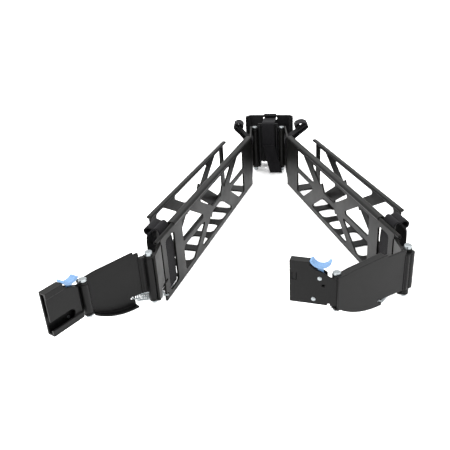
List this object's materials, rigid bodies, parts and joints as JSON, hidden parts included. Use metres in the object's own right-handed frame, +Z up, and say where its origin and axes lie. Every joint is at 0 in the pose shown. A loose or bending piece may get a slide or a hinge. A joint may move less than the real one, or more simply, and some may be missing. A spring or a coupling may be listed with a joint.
{
  "type": "server cable management arm",
  "caption": "Folding cable arm for a rack server: ladder-floored trays hinged to a centre bracket, with sprung links and latching end brackets.",
  "frame": {"origin": "on the floor at the middle of the footprint", "axes": "+X to the right seen from the end-bracket side, +Y to the rear where the cradle is, +Z up along the hinge pins"},
  "size_m": [0.3101, 0.4987, 0.0807],
  "materials": {
    "black_powder_coat": "satin powder coat on steel sheet",
    "zinc_plate": "bright zinc-plated steel",
    "blue_plastic": "moulded plastic, satin",
    "strap_fabric": "woven hook-and-loop strap"
  },
  "bodies": {
    "centre_bracket": {"centre_plate": "black_powder_coat", "cradle": "black_powder_coat", "cradle_rivets": "zinc_plate", "centre_pin_left": "zinc_plate", "centre_pin_right": "zinc_plate", "centre_clips": "zinc_plate", "centre_strap": "strap_fabric"},
    "left_tray": {"left_inner_wall": "black_powder_coat", "left_outer_wall": "black_powder_coat", "left_tray_floor": "black_powder_coat", "left_rail_cover": "black_powder_coat", "left_outer_rail": "black_powder_coat", "left_centre_leaf": "black_powder_coat", "left_end_leaf": "black_powder_coat", "left_end_pin": "zinc_plate", "left_end_clip": "zinc_plate", "left_end_strap": "strap_fabric", "left_centre_strap": "strap_fabric", "left_link_spring": "zinc_plate"},
    "left_link": {"left_link_plate": "black_powder_coat", "left_link_knuckle": "black_powder_coat", "left_link_pin": "zinc_plate", "left_link_clip": "zinc_plate"},
    "left_end_bracket": {"left_end_bracket": "black_powder_coat", "left_bracket_rivets": "zinc_plate", "left_latch_spring": "zinc_plate"},
    "left_latch": {"left_latch": "blue_plastic"},
    "right_tray": {"right_inner_wall": "black_powder_coat", "right_outer_wall": "black_powder_coat", "right_tray_floor": "black_powder_coat", "right_rail_cover": "black_powder_coat", "right_outer_rail": "black_powder_coat", "right_centre_leaf": "black_powder_coat", "right_end_leaf": "black_powder_coat", "right_end_pin": "zinc_plate", "right_end_clip": "zinc_plate", "right_end_strap": "strap_fabric", "right_centre_strap": "strap_fabric", "right_link_spring": "zinc_plate"},
    "right_link": {"right_link_plate": "black_powder_coat", "right_link_knuckle": "black_powder_coat", "right_link_pin": "zinc_plate", "right_link_clip": "zinc_plate"},
    "right_end_bracket": {"right_end_bracket": "black_powder_coat", "right_bracket_rivets": "zinc_plate", "right_latch_spring": "zinc_plate"},
    "right_latch": {"right_latch": "blue_plastic"}
  },
  "joints": [
    {"name": "left_tray_hinge", "type": "hinge", "parent": "centre_bracket", "child": "left_tray", "pos_m": [-0.02705, 0.2098, 0.04], "axis": [0, 0, -1], "range_deg": [-10.4, 60]},
    {"name": "left_link_hinge", "type": "hinge", "parent": "left_tray", "child": "left_link", "pos_m": [-0.08933, -0.16166, 0.04], "axis": [0, 0, 1], "range_deg": [-14, 125], "deforming": ["left_link_spring"]},
    {"name": "left_bracket_hinge", "type": "hinge", "parent": "left_link", "child": "left_end_bracket", "pos_m": [-0.13309, -0.21147, 0.05], "axis": [0, 0, 1], "range_deg": [-12, 95]},
    {"name": "left_latch_pivot", "type": "hinge", "parent": "left_end_bracket", "child": "left_latch", "pos_m": [-0.13942, -0.22395, 0.0625], "axis": [-0.8918, 0.4524, 0], "range_deg": [0, 10], "stiffness_Nm_per_rad": 0.05, "springref_deg": -20.05},
    {"name": "right_tray_hinge", "type": "hinge", "parent": "centre_bracket", "child": "right_tray", "pos_m": [0.01225, 0.2098, 0.04], "axis": [0, 0, 1], "range_deg": [-14, 48]},
    {"name": "right_link_hinge", "type": "hinge", "parent": "right_tray", "child": "right_link", "pos_m": [0.14856, -0.14131, 0.04], "axis": [0, 0, -1], "range_deg": [-115, 20], "deforming": ["right_link_spring"]},
    {"name": "right_bracket_hinge", "type": "hinge", "parent": "right_link", "child": "right_end_bracket", "pos_m": [0.08226, -0.19256, 0.05], "axis": [0, 0, -1], "range_deg": [-46, 60]},
    {"name": "right_latch_pivot", "type": "hinge", "parent": "right_end_bracket", "child": "right_latch", "pos_m": [0.06851, -0.18991, 0.0625], "axis": [0.1891, 0.982, 0], "range_deg": [0, 10], "stiffness_Nm_per_rad": 0.05, "springref_deg": -20.05}
  ]
}
